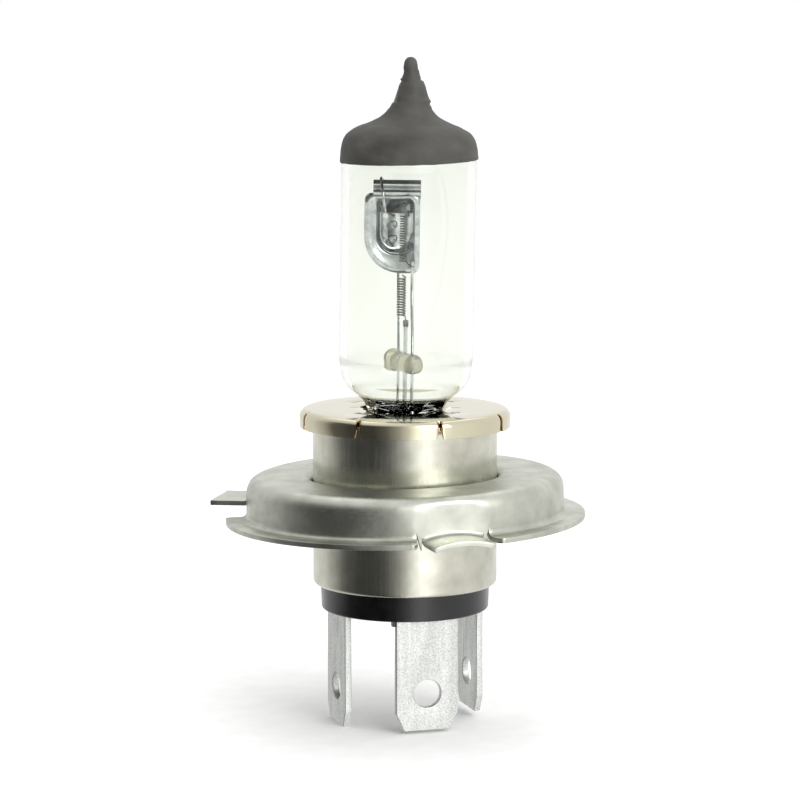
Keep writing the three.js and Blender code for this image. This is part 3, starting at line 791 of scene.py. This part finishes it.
def burner(tungsten, molybdenum, bead_glass):
    """The filaments, the leads that carry them and the bead that ties the leads."""
    coil_x = -0.55
    low = filament(
        "low_beam_filament", turns=19, coil_radius=0.42, wire_radius=0.075, centre_x=coil_x,
        start=28.5, length=5.5,
        below=[(LEAD_X + 0.5, -1.2, 27.9), (LEAD_X + 0.1, -0.4, 28.2)],
        above=[(coil_x + 0.3, 0, 34.4), (LEAD_X, 0, 34.9)])
    high = filament(
        "high_beam_filament", turns=15, coil_radius=0.5, wire_radius=0.08, centre_x=coil_x - 0.15,
        start=22.0, length=4.6,
        below=[(LEAD_X - 0.05, 0, 21.0), (LEAD_X - 0.05, 0, 21.7)],
        above=[(coil_x - 0.1, -0.1, 26.9)])
    common = wire("common_lead_bent", [
        *straight_foot("common", 18.5),
        shield_point(2.5, -0.35, 24.5), shield_point(2.5, -0.33, 28.4)], 0.19)
    centre = wire("high_beam_lead_straight", [
        (LEAD_X, 0, 7.2), (LEAD_X, 0, 14), (LEAD_X, 0, 21.0)], 0.25)
    behind = wire("low_beam_lead_bent", [
        *straight_foot("low", 18.2),
        shield_point(0.9, 2.95, 25.5), shield_point(0.2, 2.95, 36.2),
        shield_point(-1.15, 1.4, 37.95), shield_point(-1.4, 0.2, 38.15),
        shield_point(-1.27, -0.3, 37.4), shield_point(-0.78, -0.75, 34.2)], 0.17)
    bead = spun("bridge_bead_fused", smooth_through([
        (0, -4.1), (0.7, -3.95), (1.12, -3.4), (1.2, -2.6), (1.08, -1.2), (0.98, 0), (1.05, 1.2),
        (1.22, 2.6), (1.2, 3.4), (0.75, 3.98), (0, 4.1)]), 32)
    seat(bead, -math.pi / 2, (LEAD_X, 0, 16.6), (1, 0, 0))
    seat(bead, math.radians(5), (-0.25, 0, 0))
    for piece, material, node in (
            (low, tungsten, "low_beam_filament"), (high, tungsten, "high_beam_filament"),
            (common, molybdenum, "common_lead"), (centre, molybdenum, "high_beam_lead"),
            (behind, molybdenum, "low_beam_lead"), (bead, bead_glass, "bridge_bead")):
        lean(piece, GLASS_LEAN, LEAN_HEIGHT)
        hand_over(piece, material, node, smooth=60)
    for node, height in (("low_beam_clamp", 34.9), ("high_beam_clamp", 21.1)):
        clamp = block(node + "_folded", (0.62, 0.5, 0.85), (LEAD_X, 0, height))
        apply_modifier(clamp, "BEVEL", width=0.16 * MM, segments=4)
        lean(clamp, GLASS_LEAN, LEAN_HEIGHT)
        hand_over(clamp, tungsten, node)


# ---- Cap --------------------------------------------------------------------------------------

FLANGE_TILT = math.radians(1.2)
SHEET_COLUMNS = 192
NOTCH_COUNT = 8
NOTCH_ANGLE = math.radians(-88)


def angle_between(at, centre):
    """How far a point lies from an angle round the axis, in radians."""
    return abs((math.atan2(at.y, at.x) - centre + math.pi) % (2 * math.pi) - math.pi)


def barrel(material):
    """A drawn steel cup with a rolled-in foot and a narrow brim under the ring."""
    low, high = box_mm("barrel")
    radius, brim, wall = 11.0, high.x, 0.4
    profile = rounded([
        (radius - 0.85, low.z, 0.15), (radius, low.z, 0.55), (radius, high.z - wall, 0.25),
        (brim, high.z - wall, 0), (brim, high.z, 0.15), (radius - wall, high.z, 0.3),
        (radius - wall, low.z + wall, 0.2), (radius - 0.85, low.z + wall, 0.1)])
    shell = spun("barrel_drawn", profile + profile[:1], 160)
    hand_over(shell, material, "barrel")


def holder_ring(material):
    """Pressed lid: eight notches round its skirt, four slots, and two tongues that grip the pinch."""
    high = box_mm("holder_ring")[1]
    radius, top = high.x, high.z
    sheet, hole, skirt = 0.4, 5.4, top - 2.15
    slit_end, slot_inner, slot_outer = 6.6, 7.35, 7.75
    notch_flare = 0.2
    profile = rounded([
        (hole, top, 0), (slit_end, top, 0), (slot_inner, top, 0), (slot_outer, top, 0), (9.6, top, 0),
        (radius, top, 0.9), (radius, skirt + 0.9, 0), (radius, skirt, 0)])
    ring = spun("holder_ring_pressed", profile, SHEET_COLUMNS)
    face_up(ring, Vector((9, 0, 11)))
    step = 2 * math.pi / SHEET_COLUMNS
    into(ring)
    notches = [step / 2 + 2 * math.pi * k / NOTCH_COUNT for k in range(NOTCH_COUNT)]
    pick(ring, "faces", lambda at: at.xy.length > 11.9
         and min(angle_between(at, notch) for notch in notches) < step * 0.6)
    bpy.ops.mesh.delete(type="FACE")
    for notch in notches:
        for side in (-1, 1):
            edge = notch + side * step / 2
            tangent = Vector((-math.sin(edge), math.cos(edge), 0)) * side
            pick(ring, "verts", lambda at: at.z < skirt + 0.1 and angle_between(at, edge) < step * 0.2)
            bpy.ops.transform.translate(value=tangent * notch_flare * MM)
    slots = [math.radians(-60 + 90 * k) for k in range(4)]
    pick(ring, "faces", lambda at: slot_inner < at.xy.length < slot_outer
         and min(angle_between(at, slot) for slot in slots) < step * 5)
    bpy.ops.mesh.delete(type="FACE")
    slits = [math.radians(degrees) for degrees in (160, -20)]
    pick(ring, "faces", lambda at: at.xy.length < slit_end
         and min(angle_between(at, slit) for slit in slits) < step * 0.7)
    bpy.ops.mesh.delete(type="FACE")
    for side in (0, math.pi):
        inwards = Vector((-math.cos(side), 0, 0))
        pick(ring, "edges", lambda at: at.xy.length < hole + 0.01
             and angle_between(at, side) < step * 9.6)
        for inward, down in ((0.35, -0.08), (0.5, -0.35), (0.55, -0.8), (0.75, -1.2), (0.95, -1.4),
                             (0.12, -0.7)):
            bpy.ops.mesh.extrude_edges_move(
                TRANSFORM_OT_translate={"value": (inwards * inward + Vector((0, 0, down))) * MM})
    bpy.ops.object.mode_set(mode="OBJECT")
    apply_modifier(ring, "SOLIDIFY", thickness=sheet * MM, offset=-1)
    bevel_edges(ring, 0.06, 50)
    seat(ring, NOTCH_ANGLE + math.radians(90) - step / 2)
    hand_over(ring, material, "holder_ring")


def mounting_flange(material):
    """Pressed flange: a collar, a domed wall with a flat over each lug, and a rim cut away beside it."""
    low, high = box_mm("mounting_flange")
    rim, reach, top = high.y, -low.y, high.z
    rim_top = low.z + 0.6
    wall, flat = 19.0, 18.5
    bend_top, foot = 0.5, rim_top + 0.7
    sheet, collar, collar_foot = 0.6, 11.12, 0.9
    # Half the lug's width and half the rim's gap, in columns of the sheet.
    lug_columns, gap_columns = 6, 7
    # The front lug is bent down by lug_drop, and arched by a share of an arc with the given rise.
    lug_drop, arch_rise, arch_reach, arch_share = 1.35, 0.9, 3.8, 0.7
    profile = rounded([
        (collar, collar_foot, 0), (collar, top, 1.1), (13.2, top, 0), (15.2, top - 0.03, 0),
        (wall, top - 0.08, 1.8),
        (wall, bend_top, 0), (wall, rim_top, 0.7), (rim, rim_top, 0)], 7)
    flange = spun("mounting_flange_pressed", profile, SHEET_COLUMNS)
    face_up(flange, Vector((15, 0, top)))
    into(flange)
    step = 360 / SHEET_COLUMNS

    def turn_of(at):
        return abs(math.degrees(math.atan2(at.x, -at.y)))

    # The first lug made is the front one. Then the sheet is turned on to the next.
    for crowned in (True, False, False):
        # The wall's flat, at -Y.
        pick(flange, "verts", lambda at: at.y < -flat and at.z > foot - 0.01)
        bpy.ops.transform.resize(value=(1, 0, 1), center_override=(0, -flat * MM, 0))
        # The flat's sides are rounded, as the press leaves them.
        pick(flange, "verts", lambda at: at.y < 0 and 4.5 * step < turn_of(at) < 9.5 * step
             and at.xy.length > flat - 0.2 and foot + 0.05 < at.z < top - 0.6)
        bpy.ops.mesh.vertices_smooth(factor=0.5, repeat=4, zaxis=False)
        # The rim beside and under the lug goes, and the wall under it.
        pick(flange, "faces", lambda at: turn_of(at) < gap_columns * step and at.y < 0 and (
            at.z < foot and at.xy.length > flat - 0.5))
        bpy.ops.mesh.delete(type="FACE")
        pick(flange, "faces", lambda at: turn_of(at) < lug_columns * step and at.y < 0 and (
            at.z < bend_top and at.xy.length > flat - 0.5))
        bpy.ops.mesh.delete(type="FACE")
        # The lug is bent out from the wall's lower edge.
        pick(flange, "edges", lambda at: turn_of(at) < lug_columns * step
             and at.y < -flat + 0.1 and abs(at.z - bend_top) < 0.01)
        angles = [math.pi / 8 * k for k in range(5)]
        bend = [(-bend_top * (1 - math.cos(a)), -bend_top * math.sin(a)) for a in angles]
        runs = [(there[0] - here[0], there[1] - here[1]) for here, there in zip(bend, bend[1:])]
        straight = reach - flat - bend_top
        for out, down in runs + [(-straight / 4, 0)] * 4:
            bpy.ops.mesh.extrude_edges_move(
                TRANSFORM_OT_translate={"value": (0, out * MM, down * MM)})
        if crowned:
            arch = (arch_reach ** 2 + arch_rise ** 2) / (2 * arch_rise)
            for column in range(-gap_columns, gap_columns + 1):
                across = flat * math.tan(math.radians(column * step))
                beside = abs(column) == gap_columns
                pick(flange, "verts", lambda at: at.y < -flat + 0.1 and at.z < bend_top + 0.01
                     and abs(at.x - across) < 0.12 and (at.z > bend_top - 0.01 or not beside))
                sag = 0 if beside else arch - math.sqrt(arch ** 2 - across ** 2)
                bpy.ops.transform.translate(value=(0, 0, -(lug_drop + arch_share * sag) * MM))
        bpy.ops.mesh.select_all(action="SELECT")
        bpy.ops.transform.rotate(value=2 * math.pi / 3, orient_axis="Z", center_override=(0, 0, 0))
    # The rim's corners beside each lug are rounded.
    pick(flange, "verts", lambda at: at.z < rim_top + 0.02 and at.xy.length > rim - 0.05 and any(
        abs(math.degrees(angle_between(at, math.radians(lug))) - gap_columns * step) < step * 0.3
        for lug in (-90, 30, 150)))
    bpy.ops.mesh.bevel(offset=1.1 * MM, segments=5, affect="VERTICES")
    bpy.ops.object.mode_set(mode="OBJECT")
    apply_modifier(flange, "SOLIDIFY", thickness=sheet * MM, offset=-1, use_even_offset=True)
    bevel_edges(flange, 0.08, 50)
    lean(flange, FLANGE_TILT, 0)
    hand_over(flange, material, "mounting_flange")


def base_insulator(material):
    """A moulded plug in the barrel's mouth, with a slot for each blade and a nib beside the middle one."""
    low, high = box_mm("base_insulator")
    radius, slot_clearance, through = 10.12, 0.1, 30
    seat_height = box_mm("barrel")[0].z + 0.45
    body = spun("base_insulator_moulded", rounded([
        (0, low.z + 0.7, 0), (4.6, low.z + 0.7, 0.2), (5.0, low.z, 0.25), (radius - 0.1, low.z, 0.3),
        (radius, seat_height, 0), (high.x, seat_height, 0), (high.x, high.z, 0.3), (0, high.z, 0)]), 128)
    cutters = []
    for blade in ("blade_top", "blade_left", "blade_right"):
        corner, far = box_mm(blade)
        size = far - corner + Vector((slot_clearance, slot_clearance, through))
        cutters.append(block("slot", size, (corner + far) / 2))
    corner, far = box_mm("blade_top")
    nib = block("nib", (0.5, 0.8, 0.9), (corner.x - 0.2, (corner.y + far.y) / 2, low.z - 0.1))
    with_tools(body, "UNION", [nib])
    with_tools(body, "DIFFERENCE", cutters)
    bevel_edges(body, 0.12, 40)
    hand_over(body, material, "base_insulator")


def terminal_blade(node, material):
    """A stamped blade with a tapered tip and a round hole."""
    low, high = box_mm(node)
    facing_side = high.x - low.x < high.y - low.y
    width = high.y - low.y if facing_side else high.x - low.x
    half, thickness = width / 2, 0.8
    taper, taper_length = 0.95, 2.05
    hole_radius, hole_height = 1.68, 4.4
    outline = rounded([
        (-half + taper, low.z, 0.12), (half - taper, low.z, 0.12), (half, low.z + taper_length, 0.5),
        (half, high.z, 0.1), (-half, high.z, 0.1), (-half, low.z + taper_length, 0.5)])
    blade = slab(node + "_stamped", outline, thickness)
    with_tools(blade, "DIFFERENCE", [punch("punch", hole_radius, 3, (0, 0, low.z + hole_height))])
    bevel_edges(blade, 0.1, 50, segments=3)
    middle = (low + high) / 2
    seat(blade, math.pi / 2 if facing_side else 0, (middle.x, middle.y, 0))
    hand_over(blade, material, node)


# ---- The bulb ---------------------------------------------------------------------------------

make_camera()
make_studio()
bpy.context.scene.view_settings.view_transform = "Standard"
make_softbox("key", azimuth=35, elevation=30, distance=0.6, size=0.35, power=1.2)
make_softbox("back", azimuth=180, elevation=60, distance=0.7, size=0.6, power=0.5)
make_floor(matt_paper())

# Draw marks run along the barrel, and rolling marks across the flange's sheet.
drawn_steel = worked_metal("drawn_stainless", "#bcbbad", "#d6d5c8", roughness=(0.19, 0.29),
                           marks=0.22, stretch=(1, 1, 60), height=0.0005)
pressed_steel = worked_metal("rolled_stainless", "#b2b4a9", "#cdcfc4", roughness=(0.33, 0.43),
                             marks=0.25, stretch=(1, 12, 1), height=0.0004)
molybdenum = worked_metal("rolled_molybdenum", "#a9adb0", "#d4d8da", roughness=(0.06, 0.16),
                          marks=0.2, stretch=(1, 1, 6), height=0.001, patch=1.0)
tungsten = worked_metal("drawn_tungsten", "#62625f", "#96958f", roughness=(0.3, 0.45),
                        marks=0.12, stretch=(1, 1, 1), height=0.004, patch=0.6)
nickel = nickel_plate()
tin = tin_plate()

glass_envelope(quartz_glass())
top_coating(dipped_coat())
dip_shield(molybdenum)
burner(tungsten, molybdenum, sintered_bead())
barrel(drawn_steel)
holder_ring(nickel)
mounting_flange(pressed_steel)
base_insulator(moulded_resin())
for side in ("top", "left", "right"):
    terminal_blade("blade_" + side, tin)

# The sealed foils and the outer leads keep their CAD solids.
for node, material in (
        ("common_foil", molybdenum), ("high_foil", molybdenum), ("low_foil", molybdenum),
        ("outer_lead_top", nickel), ("outer_lead_left", nickel), ("outer_lead_right", nickel)):
    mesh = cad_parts[node].data
    mesh.materials.clear()
    mesh.materials.append(material)
